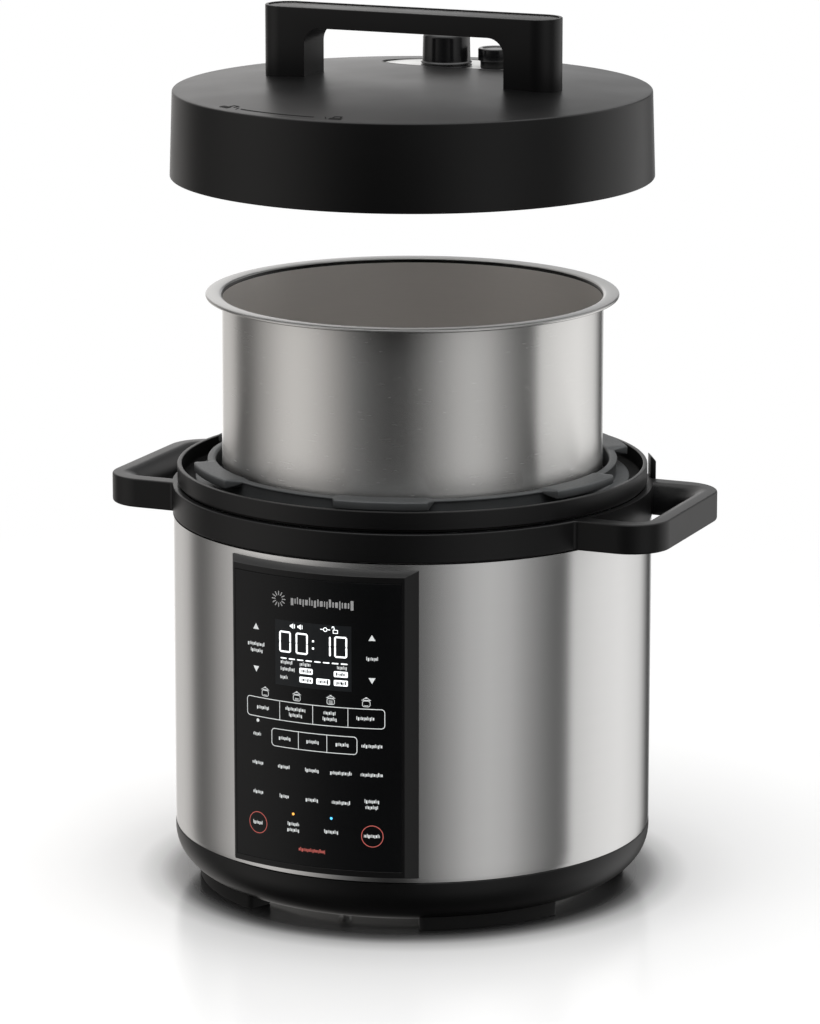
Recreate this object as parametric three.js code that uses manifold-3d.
// Electric pressure cooker: a six litre countertop cooker with its pot and lid lifted out along the axis.
// Millimetres, +Z up. The origin is on the worktop under the cooker's axis, the control panel faces -Y
// and the two side handles lie along X. Every height is that of the closed cooker: the pot and the lid
// are made where they sit when closed, and then raised by POT_RAISED and LID_RAISED.
import * as THREE from "three";
import { mergeVertices } from "three/addons/utils/BufferGeometryUtils.js";
import Module from "manifold-3d";

// ---- Driving dimensions ----

const GAP = 0.3; // between pieces that touch
const ROUND = 48; // sides of the large turned pieces
const HIDDEN = 36; // sides of the large turned pieces inside
const FINE = 16; // sides of the small turned pieces

// How far the pot and the lid stand above their closed places.
const POT_RAISED = 94.2;
const LID_RAISED = 180;

// Body, from the worktop up.
const BODY_R = 140.2;
const BASE_TOP = 32.9;
const SHELL_R = 140.1;
const SHELL_WALL = 0.8;
const SHELL_TOP = 218.5;
const COLLAR_TOP = 236;
const RIM_R = 137.3;
const RIM_LIP = 2.5;
const RIM_FLOOR = 238.8;
const RIM_TOP = 248.05;
const FLANGE_TOP = 251.8;

// Base: the side curves in to a flat underside between these radii.
const UNDERSIDE_R = 112;
const UNDERSIDE_Z = 4.8;
const CURVE_TOP = 30;
const BASE_WALL = 3;
const PLATE_UNDER_TOP = 5.7; // top of the steel plate that closes the base
const FOOT_IN = 109;
const FOOT_OUT = 126;
const FOOT_SPREAD = 40; // degrees

// Side handles.
const HANDLE_X = 174.5;
const HANDLE_Y = 61;
const HANDLE_CORNER = 24;
const GRIP_X = 165;
const GRIP_Y = 49.5;
const GRIP_CORNER = 12;
const GRIP_SLOPE = 8.5; // how far the opening's three outer sides lean in, from top to bottom
const RIB_ANGLES = [30, 150];
const RIB_HALF = 6;
const RIB_OUT = 143.4;
const RIB_FALL = 3; // from the rim outwards

// Bayonet: lugs on the cooker's flange, and lugs on the lid that pass between them and turn under them.
const LUGS = 6;
const LUG_SPREAD = 26; // degrees
const FLANGE_LUG_FIRST = -75; // degrees from +X to the middle of the first lug
const LID_LUG_FIRST = FLANGE_LUG_FIRST + 180 / LUGS;
const FLANGE_LUG_UNDER = 246.8;

// Liner, heating plate and pot.
const LINER_R = 116.1;
const LINER_WALL = 1.2;
const LINER_BASE = 62.5;
const PLATE_R = 96;
const PLATE_TOP = 94;
const WELL_R = 17.5;
const POT_R = 111;
const POT_WALL = 0.8;
const POT_CORNER = 12;
const POT_BASE = PLATE_TOP + GAP;
const POT_FLOOR = 3;
const POT_RIM_R = 120.1;
const POT_TOP = FLANGE_TOP + GAP + 2;

// Control panel, a curved plate proud of the shell.
const PANEL_IN = SHELL_R + GAP;
const PANEL_OUT = 147.8;
const PANEL_LOW = 36;
const PANEL_HIGH = 215.3;
const PANEL_SPREAD = 24.7; // degrees each side of -Y
const PANEL_BEVEL = 3.2; // degrees
const PANEL_BEVEL_Z = 2.3;
const GLASS_X = 51.5;
const GLASS_LOW = 41.8;
const GLASS_HIGH = 209.2;
const GLASS_BACK = 145.5;

// Lid.
const LID_LOW = COLLAR_TOP + 1;
const LID_R = 140;
const LID_EDGE_R = 138.3;
const LID_EDGE = 286.7;
const LID_DOME = 6.5;
const LID_WALL = 2.4;
const SKIRT_IN = 138;
const PRESSING_TOP = 264.5;
const PRESSING_R = 133.3;
const PRESSING_WALL = 1.8;
const LID_LUG_IN = 121.5;
const LID_LUG_TOP = 246.4;

// Lid handle.
const BAR_TOP = 331.8;
const BAR_UNDER = 320.2;
const BAR_HALF = 91.5;
const BAR_R = 14;
const HAND_HALF = 62;
const HAND_CORNER = 10;
const SCREW_X = 76;
const CAP_INSET = 2;

// Valves, in the oval plate behind the handle.
const OVAL_Y = 82;
const OVAL_HALF_X = 52.5;
const OVAL_HALF_Y = 28;
const OVAL_THICK = 1;
const OVAL_TOP = 289;
const WELL_WALL = 2;
const VALVE_X = -12.4;
const VALVE_Y = 80;
const BUTTON_X = 17.2;
const BUTTON_Y = 84;
const FLOAT_X = 39;
const FLOAT_Y = 84;

// ---- Materials ----

const BLACK_PLASTIC = { color: 0x1b1b1c, roughness: 0.42, metalness: 0 };
const BLACK_GLOSS = { color: 0x0b0b0d, roughness: 0.12, metalness: 0 };
const LID_PLASTIC = { color: 0x232324, roughness: 0.5, metalness: 0 };
const RUBBER = { color: 0x161616, roughness: 0.85, metalness: 0 };
const SILICONE = { color: 0xd9d9d4, roughness: 0.6, metalness: 0 };
const STEEL = { color: 0xb9b6b0, roughness: 0.3, metalness: 1 };
const DARK_METAL = { color: 0x5c5e5f, roughness: 0.45, metalness: 0.8 };
const ALUMINIUM = { color: 0xa8aaac, roughness: 0.45, metalness: 1 };
const BOARD = { color: 0x1f5a35, roughness: 0.6, metalness: 0 };
const DISPLAY = { color: 0x2b3138, roughness: 0.2, metalness: 0 };
const RED_METAL = { color: 0xa83226, roughness: 0.4, metalness: 0.2 };

// ---- Solids ----

const wasm = await Module();
wasm.setup();

const rad = THREE.MathUtils.degToRad;

// The closed solid of a geometry, with its shared vertices merged.
function solid(geometry) {
  const bare = geometry.clone();
  bare.deleteAttribute("normal");
  bare.deleteAttribute("uv");
  const merged = mergeVertices(bare, 1e-4);
  return new wasm.Manifold(
    new wasm.Mesh({
      numProp: 3,
      vertProperties: merged.attributes.position.array,
      triVerts: new Uint32Array(merged.index.array),
    }),
  );
}

function geometryOf(made) {
  const mesh = made.getMesh();
  const geometry = new THREE.BufferGeometry();
  geometry.setAttribute("position", new THREE.BufferAttribute(mesh.vertProperties, 3));
  geometry.setIndex(new THREE.BufferAttribute(mesh.triVerts, 1));
  const flat = geometry.toNonIndexed();
  flat.computeVertexNormals();
  return flat;
}

const join = (first, ...others) => others.reduce((made, other) => made.add(other), first);
const cut = (first, ...others) => others.reduce((made, other) => made.subtract(other), first);

// A solid turned about Z from [radius, z] points that run up the outside and back down the inside.
function turned(profile, sides = ROUND) {
  const points = profile.map(([r, z]) => new THREE.Vector2(r, z));
  return solid(new THREE.LatheGeometry(points, sides).rotateX(Math.PI / 2));
}

function ring(inner, outer, low, high, sides = ROUND) {
  return turned([[inner, low], [outer, low], [outer, high], [inner, high], [inner, low]], sides);
}

function disc(radius, low, high, sides = ROUND) {
  return turned([[0, low], [radius, low], [radius, high], [0, high]], sides);
}

function rod(radius, low, high, x = 0, y = 0, sides = FINE) {
  return disc(radius, low, high, sides).translate([x, y, 0]);
}

// A box between two corners.
function block(low, high) {
  const size = high.map((v, i) => v - low[i]);
  const middle = high.map((v, i) => (v + low[i]) / 2);
  return solid(new THREE.BoxGeometry(...size).translate(...middle));
}

// A plan outline raised from low to high.
function raised(shape, low, high, curveSegments = 4) {
  const options = { depth: high - low, bevelEnabled: false, curveSegments };
  const geometry = new THREE.ExtrudeGeometry(shape, options);
  return solid(geometry.translate(0, 0, low));
}

// A solid between two plan outlines with the same number of points.
function lofted(lowShape, highShape, low, high, curveSegments = 4) {
  const lowPoints = lowShape.getPoints(curveSegments);
  const highPoints = highShape.getPoints(curveSegments);
  const column = lowPoints.map((point, i) => [point, highPoints[i]]);
  const corner = ([x, y], z) => new THREE.Vector3(x, y, z);
  const positions = [];
  const triangle = (...points) => points.forEach((point) => positions.push(point.x, point.y, point.z));
  const lowMiddle = new THREE.Vector3(0, 0, low);
  const highMiddle = new THREE.Vector3(0, 0, high);
  column.forEach(([a, c], i) => {
    const [b, d] = column[(i + 1) % column.length];
    const [lowA, lowB] = [corner(a, low), corner(b, low)];
    const [highA, highB] = [corner(c, high), corner(d, high)];
    triangle(lowA, lowB, highB);
    triangle(lowA, highB, highA);
    triangle(lowMiddle, lowB, lowA);
    triangle(highMiddle, highA, highB);
  });
  const geometry = new THREE.BufferGeometry();
  geometry.setAttribute("position", new THREE.Float32BufferAttribute(positions, 3));
  return solid(geometry);
}

function roundedOutline(halfX, halfY, corner) {
  const shape = new THREE.Shape();
  const x = halfX - corner;
  const y = halfY - corner;
  shape.absarc(x, y, corner, 0, rad(90));
  shape.absarc(-x, y, corner, rad(90), rad(180));
  shape.absarc(-x, -y, corner, rad(180), rad(270));
  shape.absarc(x, -y, corner, rad(270), rad(360));
  return shape;
}

// Part of a ring, centred on an angle from +X.
function sector(inner, outer, low, high, middle, spread) {
  const from = rad(middle - spread / 2);
  const to = rad(middle + spread / 2);
  const shape = new THREE.Shape();
  shape.absarc(0, 0, outer, from, to);
  shape.absarc(0, 0, inner, to, from, true);
  return raised(shape, low, high);
}

// A round wire wound into a compression spring between two heights.
function coil(radius, wire, low, high, turns) {
  const steps = turns * 8;
  const rise = high - low - 2 * wire;
  const centre = (i) => {
    const angle = (i / steps) * turns * 2 * Math.PI;
    const z = low + wire + (rise * i) / steps;
    return new THREE.Vector3(radius * Math.cos(angle), radius * Math.sin(angle), z);
  };
  const path = new THREE.CatmullRomCurve3(Array.from({ length: steps + 1 }, (_, i) => centre(i)));
  const section = new THREE.Shape().absarc(0, 0, wire, 0, 2 * Math.PI);
  return solid(new THREE.ExtrudeGeometry(section, { steps, extrudePath: path, curveSegments: 3 }));
}

// Points on a quarter ellipse, from its start angle to its end angle in degrees.
function arc(centreR, centreZ, radiusR, radiusZ, from, to, count = 6) {
  return Array.from({ length: count + 1 }, (_, i) => {
    const angle = rad(from + ((to - from) * i) / count);
    return [centreR + radiusR * Math.cos(angle), centreZ + radiusZ * Math.sin(angle)];
  });
}

// ---- Groups and meshes ----

const cooker = new THREE.Group();
const pot = new THREE.Group();
const lid = new THREE.Group();
pot.position.z = POT_RAISED;
lid.position.z = LID_RAISED;
cooker.add(pot, lid);

function piece(group, name, made, finish) {
  const mesh = new THREE.Mesh(geometryOf(made), new THREE.MeshStandardMaterial(finish));
  mesh.name = name;
  group.add(mesh);
  return mesh;
}

// ---- Base ----

const SCREW_ANGLES = [30, 150, 270];
const SCREW_R = 98;
const around = (radius, angle) => [radius * Math.cos(rad(angle)), radius * Math.sin(rad(angle))];

// The outside of the base, grown outwards by a clearance.
function baseOutside(grow) {
  const radiusR = BODY_R - UNDERSIDE_R + grow;
  const radiusZ = CURVE_TOP - UNDERSIDE_Z + grow;
  const curve = arc(UNDERSIDE_R, CURVE_TOP, radiusR, radiusZ, -90, 0, 5);
  return [...curve, [BODY_R + grow, BASE_TOP]];
}

function makeBase() {
  const flangeIn = 92;
  const plateR = 104.2;
  const inside = arc(110, CURVE_TOP, BODY_R - BASE_WALL - 110, CURVE_TOP - 9, 0, -90, 3);
  const profile = [
    [flangeIn, 6],
    [plateR + GAP, 6],
    [plateR + GAP, UNDERSIDE_Z],
    ...baseOutside(0),
    [BODY_R - BASE_WALL, BASE_TOP],
    ...inside,
    [flangeIn, 9],
    [flangeIn, 6],
  ];
  const holes = SCREW_ANGLES.map((angle) => rod(2.2, 3, 12, ...around(SCREW_R, angle), 12));
  piece(cooker, "base_shell", cut(turned(profile), ...holes), BLACK_PLASTIC);

  const slots = [-50, -30, -10, 10, 30, 50].map((x) => block([x - 3, -28, 2], [x + 3, 28, 8]));
  piece(cooker, "bottom_plate", cut(disc(plateR, 4.3, PLATE_UNDER_TOP, HIDDEN), ...holes, ...slots), STEEL);

  SCREW_ANGLES.forEach((angle, i) => {
    const screw = turned([[0, 1.8], [3.4, 1.8], [4, 2.6], [4, 4], [1.8, 4], [1.8, 14], [0, 14]], 12);
    const slot = block([-2.4, -0.4, 1], [2.4, 0.4, 2.6]);
    const cross = join(slot, slot.rotate([0, 0, 90]));
    const placed = cut(screw, cross).translate([...around(SCREW_R, angle), 0]);
    piece(cooker, "base_screw_" + (i + 1), placed, STEEL);
  });

  const above = turned([[0, UNDERSIDE_Z - GAP], ...baseOutside(GAP), [0, BASE_TOP]]);
  [-135, -45, 45, 135].forEach((angle, i) => {
    const pad = sector(FOOT_IN, FOOT_OUT, 0, 12, angle, FOOT_SPREAD);
    piece(cooker, "foot_" + (i + 1), cut(pad, above), RUBBER);
  });
}

function makeOuterShell() {
  const tube = ring(SHELL_R - SHELL_WALL, SHELL_R, BASE_TOP + GAP, SHELL_TOP);
  const panelWindow = block([-44, -150, 58], [44, -120, 196]);
  const cupWindow = block([-32.4, 120, 149.4], [32.4, 150, 194.6]);
  const inletWindow = block([-16, 120, 43.4], [16, 150, 64.6]);
  piece(cooker, "outer_shell", cut(tube, panelWindow, cupWindow, inletWindow), STEEL);
}

// ---- Collar with the two side handles, and the rim above it ----

function makeCollar() {
  const low = SHELL_TOP + GAP;
  const boreR = 136.5;
  const shelfR = 118;
  const shelfUnder = COLLAR_TOP - 3.5;
  const arms = raised(roundedOutline(HANDLE_X, HANDLE_Y, HANDLE_CORNER), low, COLLAR_TOP);
  const outside = join(arms, disc(BODY_R, low, COLLAR_TOP));
  const bore = join(disc(boreR, low - 1, shelfUnder), disc(shelfR, shelfUnder - 1, COLLAR_TOP + 1));
  const opening = lofted(
    roundedOutline(GRIP_X - GRIP_SLOPE, GRIP_Y - GRIP_SLOPE, GRIP_CORNER),
    roundedOutline(GRIP_X, GRIP_Y, GRIP_CORNER),
    low - 1,
    COLLAR_TOP + 1,
  );
  const grips = cut(opening, disc(BODY_R, low - 2, COLLAR_TOP + 2));
  // A rib behind each handle guides the lid on.
  const ribs = RIB_ANGLES.map((angle) => {
    const foot = block([boreR + 1, -RIB_HALF, low], [BODY_R + GAP + 0.5, RIB_HALF, COLLAR_TOP]);
    const side = new THREE.Shape([
      new THREE.Vector2(BODY_R + GAP, low),
      new THREE.Vector2(RIB_OUT, low),
      new THREE.Vector2(RIB_OUT, RIM_TOP - RIB_FALL),
      new THREE.Vector2(BODY_R + GAP, RIM_TOP),
    ]);
    const post = raised(side, -RIB_HALF, RIB_HALF).rotate([90, 0, 0]);
    return join(foot, post).rotate([0, 0, angle]);
  });
  piece(cooker, "side_handles", join(cut(outside, bore, grips), ...ribs), BLACK_PLASTIC);
}

function makeRim() {
  const low = COLLAR_TOP + GAP;
  const inner = LINER_R + 0.5;
  const lipIn = RIM_R - RIM_LIP;
  const profile = [
    [inner, low],
    [RIM_R, low],
    [RIM_R, RIM_TOP - 0.6],
    [RIM_R - 0.6, RIM_TOP],
    [lipIn, RIM_TOP],
    [lipIn, RIM_FLOOR],
    [inner, RIM_FLOOR],
    [inner, low],
  ];
  const drip = block([-3, 126, low - 1], [3, 131, RIM_FLOOR + 1]);
  piece(cooker, "upper_rim", cut(turned(profile), drip), BLACK_PLASTIC);
}

function makeBayonetRing() {
  const inner = 114.7;
  const outer = 119;
  const low = RIM_FLOOR + GAP;
  const footTop = low + 1.4;
  const wall = turned([
    [inner, low],
    [127, low],
    [127, footTop],
    [outer, footTop],
    [outer, FLANGE_TOP],
    [inner, FLANGE_TOP],
    [inner, low],
  ]);
  const lugs = Array.from({ length: LUGS }, (_, i) =>
    sector(outer - 1, 129, FLANGE_LUG_UNDER, FLANGE_TOP, FLANGE_LUG_FIRST + (i * 360) / LUGS, LUG_SPREAD),
  );
  piece(cooker, "bayonet_ring", join(wall, ...lugs), DARK_METAL);
}

// ---- Inside the body ----

function makeLiner() {
  const top = RIM_FLOOR;
  const inner = LINER_R - LINER_WALL;
  const profile = [
    [30, LINER_BASE],
    ...arc(LINER_R - 12, LINER_BASE + 12, 12, 12, -90, 0, 3),
    [LINER_R, top],
    [inner, top],
    ...arc(LINER_R - 12, LINER_BASE + 12, 12 - LINER_WALL, 12 - LINER_WALL, 0, -90, 3),
    [30, LINER_BASE + LINER_WALL],
    [30, LINER_BASE],
  ];
  piece(cooker, "liner", turned(profile, HIDDEN), ALUMINIUM);
}

function makeHeater() {
  const under = PLATE_TOP - 10;
  const profile = [
    [5.8, 76],
    [20, 76],
    [20, under],
    [PLATE_R, under],
    [PLATE_R, PLATE_TOP - 2],
    [PLATE_R - 2, PLATE_TOP],
    [WELL_R, PLATE_TOP],
    [WELL_R, 78],
    [5.8, 78],
    [5.8, 76],
  ];
  const legLow = LINER_BASE + LINER_WALL + GAP;
  const legs = [90, 210, 330].map((angle) => rod(6, legLow, under + 1, ...around(86, angle), 10));
  piece(cooker, "heating_plate", join(turned(profile, HIDDEN), ...legs), ALUMINIUM);

  const tube = 4.2;
  const loopR = 66;
  const loop = arc(loopR, under - GAP - tube, tube, tube, 0, 360, 8);
  const ends = [-6, 6].map((x) => rod(2.4, 68, under - GAP - tube, x, -loopR, 8));
  piece(cooker, "heating_element", join(turned(loop, HIDDEN), ...ends), DARK_METAL);

  const capR = WELL_R - 0.7;
  const sensor = turned([
    [0, 70],
    [5.2, 70],
    [5.2, 89],
    [capR, 89],
    [capR, PLATE_TOP - 1],
    [capR - 1, PLATE_TOP],
    [0, PLATE_TOP],
  ], FINE);
  piece(cooker, "temperature_sensor", sensor, ALUMINIUM);
  piece(cooker, "sensor_spring", coil(9, 0.8, 78 + GAP, 89 - GAP, 4), STEEL);

  const switchBody = join(block([-16, 36, 44], [16, 54, 60]), rod(3.5, 59, 62, 0, 45, 12));
  const ears = block([-23, 42, 50], [23, 48, 52]);
  piece(cooker, "pressure_switch", join(switchBody, ears), BLACK_PLASTIC);
}

function makeElectronics() {
  const boardLow = 16;
  const board = block([-58, -36, boardLow], [58, 36, boardLow + 1.6]);
  const parts = [
    block([-50, -28, 17], [-22, 0, 40]),
    block([-50, 6, 17], [-30, 28, 32]),
    block([20, 8, 17], [48, 28, 36]),
    rod(8, 17, 42, 4, -20, 16),
    rod(6, 17, 38, 26, -16, 16),
  ];
  const corners = [[-54, -32], [54, -32], [-54, 32], [54, 32]];
  const legs = corners.map(([x, y]) => rod(3, PLATE_UNDER_TOP + GAP, boardLow + 1, x, y, 8));
  piece(cooker, "power_board", join(board, ...parts, ...legs), BOARD);

  const controls = block([-40, -131.6, 58], [40, -130, 196]);
  const chips = join(block([-10, -130.4, 96], [10, -127, 116]), block([-30, -130.4, 70], [-18, -124, 90]));
  const sockets = block([-24, -134.4, 144], [24, -131, 150]);
  piece(cooker, "control_board", join(controls, chips, sockets), BOARD);
  piece(cooker, "display_module", block([-26, -139.2, 139], [26, -134.7, 181]), DISPLAY);

  // The mains socket sits in the back of the shell, with its three blades inside the recess.
  const flange = block([-20, 140.5, 40], [20, 143.2, 68]);
  const housing = block([-15, 119, 44.4], [15, 141, 63.6]);
  const recess = block([-12, 125, 46.5], [12, 144, 61.5]);
  const places = [[-7, 52], [7, 52], [0, 57]];
  const blades = places.map(([x, z]) => block([x - 1, 124, z - 2], [x + 1, 138, z + 2]));
  piece(cooker, "power_inlet", join(cut(join(flange, housing), recess), ...blades), BLACK_PLASTIC);
}

// The cup that catches condensate, in its holder at the back.
function makeCollector() {
  const holder = block([-32, 117.8, 149.8], [32, 139.6, 194.2]);
  const pocket = block([-30.4, 119.4, 151.4], [30.4, 141, 192.6]);
  const dripHole = block([-3, 126, 190], [3, 131, 196]);
  piece(cooker, "collector_holder", cut(holder, pocket, dripHole), BLACK_PLASTIC);

  const tray = block([-29.8, 120, 152], [29.8, 142, 191.5]);
  const hollow = block([-28.3, 121.5, 153.5], [28.3, 140.2, 193]);
  const cover = raised(roundedOutline(34, 25, 5), 0, 3.2);
  const front = cover.rotate([-90, 0, 0]).translate([0, 141.4, 172]);
  piece(cooker, "collector_cup", join(cut(tray, hollow), front), BLACK_PLASTIC);
}

// ---- Control panel ----

// A ring about the body, kept only in front and between the plan lines of the panel's sides.
function makePanel() {
  const bevelR = PANEL_IN + 0.6;
  const band = turned([
    [PANEL_IN, PANEL_LOW],
    [bevelR, PANEL_LOW],
    [PANEL_OUT, PANEL_LOW + PANEL_BEVEL_Z],
    [PANEL_OUT, PANEL_HIGH - PANEL_BEVEL_Z],
    [bevelR, PANEL_HIGH],
    [PANEL_IN, PANEL_HIGH],
    [PANEL_IN, PANEL_LOW],
  ]);
  const side = (radius, angle) => around(radius, -90 + angle);
  const face = side(PANEL_OUT, PANEL_SPREAD - PANEL_BEVEL);
  const right = [side(130, PANEL_SPREAD), side(bevelR, PANEL_SPREAD), face, [face[0], -160]];
  const plan = [...right, ...right.map(([x, y]) => [-x, y]).reverse()];
  const outline = new THREE.Shape(plan.map(([x, y]) => new THREE.Vector2(x, y)));
  const wedge = raised(outline, PANEL_LOW - 1, PANEL_HIGH + 1);

  const seat = cut(
    block([-GLASS_X - GAP, -160, GLASS_LOW - GAP], [GLASS_X + GAP, -100, GLASS_HIGH + GAP]),
    disc(GLASS_BACK - GAP, GLASS_LOW - 2, GLASS_HIGH + 2),
  );
  const window = block([-46, -160, 52], [46, -100, 202]);
  piece(cooker, "panel_bezel", cut(band.intersect(wedge), seat, window), BLACK_PLASTIC);

  const sheet = ring(GLASS_BACK, PANEL_OUT, GLASS_LOW, GLASS_HIGH);
  const glass = sheet.intersect(block([-GLASS_X, -160, GLASS_LOW - 1], [GLASS_X, -100, GLASS_HIGH + 1]));
  piece(cooker, "panel_glass", glass, BLACK_GLOSS);
}

// ---- Inner pot ----

function makePot() {
  const inner = POT_R - POT_WALL;
  const corner = POT_R - POT_CORNER;
  const rimUnder = POT_TOP - 2;
  const profile = [
    [0, POT_BASE],
    ...arc(corner, POT_BASE + POT_CORNER, POT_CORNER, POT_CORNER, -90, 0, 3),
    [POT_R, rimUnder - 2.5],
    [POT_R + 2, rimUnder],
    [POT_RIM_R, rimUnder],
    [POT_RIM_R, POT_TOP],
    [POT_R + 2, POT_TOP],
    [inner, POT_TOP - 3],
    ...arc(corner, POT_BASE + POT_CORNER, POT_CORNER - POT_WALL, POT_CORNER - POT_FLOOR, 0, -90, 3),
    [0, POT_BASE + POT_FLOOR],
  ];
  piece(pot, "inner_pot", turned(profile), STEEL);
}

// ---- Lid ----

const domeZ = (r) => LID_EDGE + LID_DOME * (1 - (r / LID_EDGE_R) ** 2);
const DOME_STEPS = [1, 0.7, 0.38, 0];

// Points on the lid's shallow dome from a radius in to the axis, lowered by a drop.
const domeArc = (radius, drop) => DOME_STEPS.map((share) => [radius * share, domeZ(radius * share) - drop]);

// The oval behind the handle that holds the valves, grown by a margin, between two heights.
function oval(margin, low, high) {
  const shape = new THREE.Shape();
  shape.absellipse(0, 0, OVAL_HALF_X + margin, OVAL_HALF_Y + margin, 0, 2 * Math.PI);
  return raised(shape, low, high, 24).translate([0, OVAL_Y, 0]);
}

function makeLidShell() {
  const profile = [
    [0, domeZ(0) - LID_WALL],
    ...domeArc(LID_EDGE_R - LID_WALL, LID_WALL).reverse().slice(1),
    [SKIRT_IN - 0.3, 250],
    [SKIRT_IN, LID_LOW],
    [LID_R - 0.5, LID_LOW],
    [LID_R, LID_LOW + 0.7],
    [LID_EDGE_R, LID_EDGE - 0.8],
    ...domeArc(LID_EDGE_R - 0.8, 0),
  ];
  const bossR = 100;
  const bosses = [30, 150, 270].map((angle) =>
    rod(5, PRESSING_TOP + GAP, domeZ(bossR) - 1, ...around(bossR, angle), 12),
  );
  // The valves stand in a flat-floored well, level with the dome at its back.
  const wellFloor = OVAL_TOP - OVAL_THICK - GAP;
  const below = turned([[0, 250], [LID_EDGE_R - 1, 250], ...domeArc(LID_EDGE_R - 1, 0.5)]);
  const well = oval(WELL_WALL, wellFloor - WELL_WALL, 300).intersect(below);
  const holes = [
    oval(GAP, wellFloor, 300),
    rod(7, 270, 300, VALVE_X, VALVE_Y),
    rod(3.6, 270, 300, BUTTON_X, BUTTON_Y),
    rod(4.6, 270, 300, FLOAT_X, FLOAT_Y),
    rod(2.4, 270, 300, -SCREW_X, 0, 12),
    rod(2.4, 270, 300, SCREW_X, 0, 12),
  ];
  piece(lid, "lid_shell", cut(join(turned(profile), ...bosses, well), ...holes), LID_PLASTIC);
}

// The pressed steel under the lid, with its lugs turned in at the foot of the wall.
function makePressing() {
  const wallIn = PRESSING_R - 2;
  const low = LID_LUG_TOP - 5.4;
  const profile = [
    [0, PRESSING_TOP - PRESSING_WALL],
    [wallIn - 2, PRESSING_TOP - PRESSING_WALL],
    [wallIn, PRESSING_TOP - PRESSING_WALL - 2],
    [wallIn, low],
    [PRESSING_R, low],
    [PRESSING_R, PRESSING_TOP - 3],
    [PRESSING_R - 3, PRESSING_TOP],
    [0, PRESSING_TOP],
  ];
  const lugs = Array.from({ length: LUGS }, (_, i) =>
    sector(LID_LUG_IN, wallIn + 1, low, LID_LUG_TOP, LID_LUG_FIRST + (i * 360) / LUGS, LUG_SPREAD),
  );
  const holes = [rod(5.4, 255, 270, VALVE_X, VALVE_Y), rod(3.6, 255, 270, FLOAT_X, FLOAT_Y)];
  piece(lid, "inner_lid", cut(join(turned(profile), ...lugs), ...holes), STEEL);

  const rackTop = PRESSING_TOP - PRESSING_WALL - GAP;
  const rack = turned([
    [109.6, 255.4],
    [112.8, 255.4],
    [112.8, rackTop],
    [106, rackTop],
    [106, rackTop - 1.2],
    [111.6, rackTop - 1.2],
    [109.6, 255.4],
  ], HIDDEN);
  piece(lid, "seal_rack", rack, STEEL);
}

// The ring that seals the lid on the pot's rim, with a groove round its inside.
function makeSeal() {
  const lip = POT_TOP + 0.4;
  const top = PRESSING_TOP - PRESSING_WALL - GAP;
  const profile = [
    [113.5, lip],
    [122, lip],
    [128, lip + 1.5],
    [128, top],
    [113.5, top],
    [113.5, top - 2.5],
    [124, top - 2.5],
    [124, lip + 2.7],
    [113.5, lip + 2],
    [113.5, lip],
  ];
  piece(lid, "seal_ring", turned(profile, HIDDEN), SILICONE);
}

function makeLidHandle() {
  const stadium = (half, radius) => roundedOutline(half, radius, radius - 0.01);
  const below = turned([[0, 250], [LID_EDGE_R, 250], ...domeArc(LID_EDGE_R, -GAP)]);
  const bar = raised(stadium(BAR_HALF, BAR_R), 280, BAR_TOP, 5);
  const handHeight = 40;
  const opening = raised(roundedOutline(HAND_HALF, handHeight, HAND_CORNER), -30, 30)
    .rotate([90, 0, 0])
    .translate([0, 0, BAR_UNDER - handHeight]);
  const pocket = raised(stadium(BAR_HALF - CAP_INSET, BAR_R - CAP_INSET), BAR_TOP - 2, BAR_TOP + 1, 5);
  const bores = [-SCREW_X, SCREW_X].map((x) => rod(2.4, 270, 306, x, 0, 12));
  piece(lid, "lid_handle", cut(bar, opening, below, pocket, ...bores), BLACK_PLASTIC);
  const capOutline = stadium(BAR_HALF - CAP_INSET - GAP, BAR_R - CAP_INSET - GAP);
  piece(lid, "handle_cap", raised(capOutline, BAR_TOP - 2 + GAP, BAR_TOP - 0.6, 5), BLACK_PLASTIC);

  const headTop = domeZ(SCREW_X + 5) - LID_WALL - GAP;
  [-SCREW_X, SCREW_X].forEach((x, i) => {
    const screw = join(disc(4.5, headTop - 3, headTop, 12), disc(2, headTop - 1, 304, 12));
    const slot = block([-3, -0.5, headTop - 4], [3, 0.5, headTop - 2]);
    const cross = join(slot, slot.rotate([0, 0, 90]));
    piece(lid, "handle_screw_" + (i + 1), cut(screw, cross).translate([x, 0, 0]), STEEL);
  });
}

// ---- Valves ----

function makeValvePlate() {
  const holes = [
    rod(6.4, 270, 310, VALVE_X, VALVE_Y),
    rod(3.6, 270, 310, BUTTON_X, BUTTON_Y),
    rod(4.6, 270, 310, FLOAT_X, FLOAT_Y),
  ];
  piece(lid, "valve_plate", cut(oval(0, OVAL_TOP - OVAL_THICK, OVAL_TOP), ...holes), ALUMINIUM);
}

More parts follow.
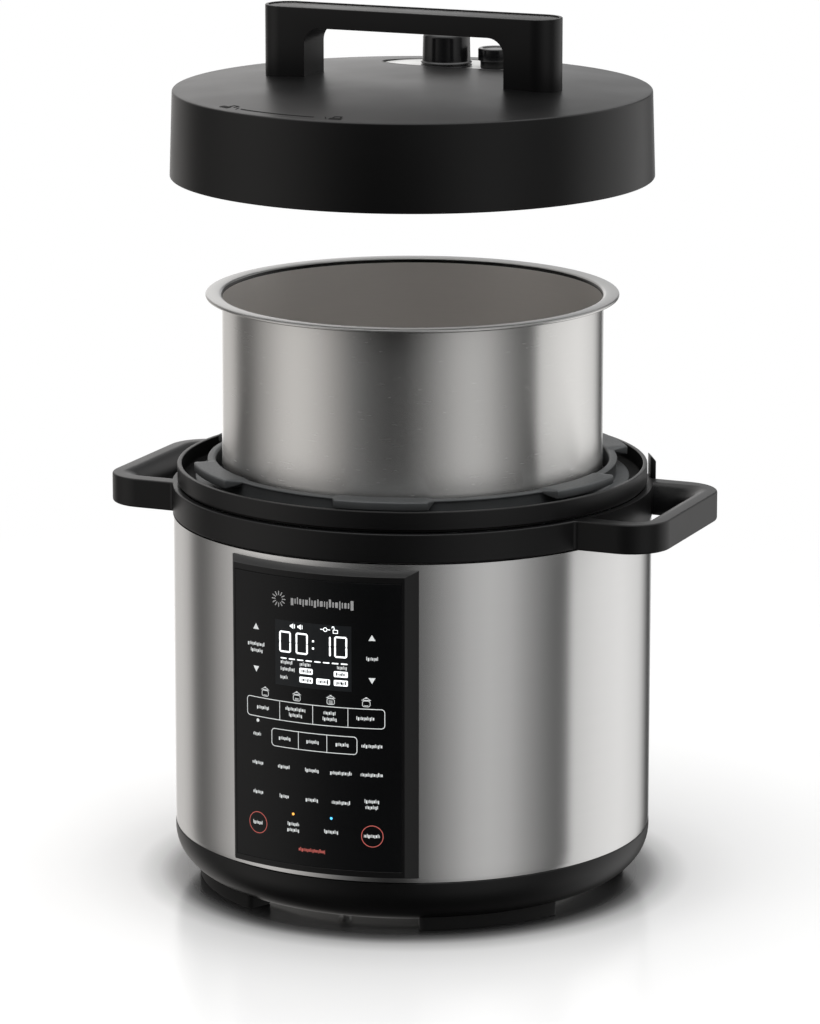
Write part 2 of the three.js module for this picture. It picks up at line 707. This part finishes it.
function makeReleaseValve() {
  const pipe = turned([[1.4, 256], [5, 256], [5, 299], [3, 302.5], [1.4, 302.5], [1.4, 256]], 16);
  piece(lid, "valve_pipe", pipe.translate([VALVE_X, VALVE_Y, 0]), STEEL);

  const low = OVAL_TOP + GAP;
  const knob = turned([
    [5.8, low],
    [14.6, low],
    [15.2, low + 0.8],
    [14.6, low + 1.6],
    [15.2, low + 2.4],
    [13.9, low + 3.4],
    [13.6, low + 16],
    [12.4, low + 17.8],
    [8, low + 19],
    [0, low + 19.5],
    [0, 303.4],
    [3.6, 303.4],
    [5.8, 300],
    [5.8, low],
  ], FINE);
  piece(lid, "pressure_valve", knob.translate([VALVE_X, VALVE_Y, 0]), BLACK_GLOSS);

  const under = PRESSING_TOP - PRESSING_WALL - GAP;
  const cup = turned([[0, 250.6], [9, 250.6], [9, under], [8, under], [8, 251.8], [0, 251.8]], FINE);
  const slots = [0, 60, 120].map((angle) => block([-12, -1, 253], [12, 1, 259]).rotate([0, 0, angle]));
  piece(lid, "anti_block_shield", cut(cup, ...slots).translate([VALVE_X, VALVE_Y, 0]), STEEL);
}

function makeReleaseButton() {
  const travel = 4;
  const low = OVAL_TOP + GAP;
  const capLow = low + travel + GAP;
  const top = low + 11.6;
  const ceiling = top - 2.2;
  const cap = turned([
    [0, 272],
    [3, 272],
    [3, ceiling],
    [9.3, ceiling],
    [9.3, capLow],
    [10.3, capLow],
    [10.3, top - 0.8],
    [9.5, top],
    [7.6, top],
    [7, top - 0.6],
    [0, top - 0.6],
  ], FINE);
  piece(lid, "release_button", cap.translate([BUTTON_X, BUTTON_Y, 0]), BLACK_GLOSS);
  const collar = ring(7.4, 8.9, low, ceiling - travel - GAP, FINE);
  piece(lid, "button_collar", collar.translate([BUTTON_X, BUTTON_Y, 0]), BLACK_PLASTIC);
  const spring = coil(5.4, 0.5, low, ceiling - GAP, 4);
  piece(lid, "button_spring", spring.translate([BUTTON_X, BUTTON_Y, 0]), STEEL);
}

function makeFloatValve() {
  const travel = 4;
  const sealTop = PRESSING_TOP - PRESSING_WALL - travel - GAP;
  const pin = turned([[0, 254], [3, 254], [3, 284], [4.1, 284], [4.1, 288.6], [3.4, 289.3], [0, 289.3]], 16);
  const groove = ring(2.2, 5, sealTop - 1.5, sealTop + GAP, 16);
  piece(lid, "float_valve", cut(pin, groove).translate([FLOAT_X, FLOAT_Y, 0]), RED_METAL);
  const seal = ring(2.5, 5.6, sealTop - 1.2, sealTop, 16);
  piece(lid, "float_seal", seal.translate([FLOAT_X, FLOAT_Y, 0]), SILICONE);
}

makeBase();
makeOuterShell();
makeCollar();
makeRim();
makeBayonetRing();
makeLiner();
makeHeater();
makeElectronics();
makeCollector();
makePanel();
makePot();
makeLidShell();
makePressing();
makeSeal();
makeLidHandle();
makeValvePlate();
makeReleaseValve();
makeReleaseButton();
makeFloatValve();

export default cooker;
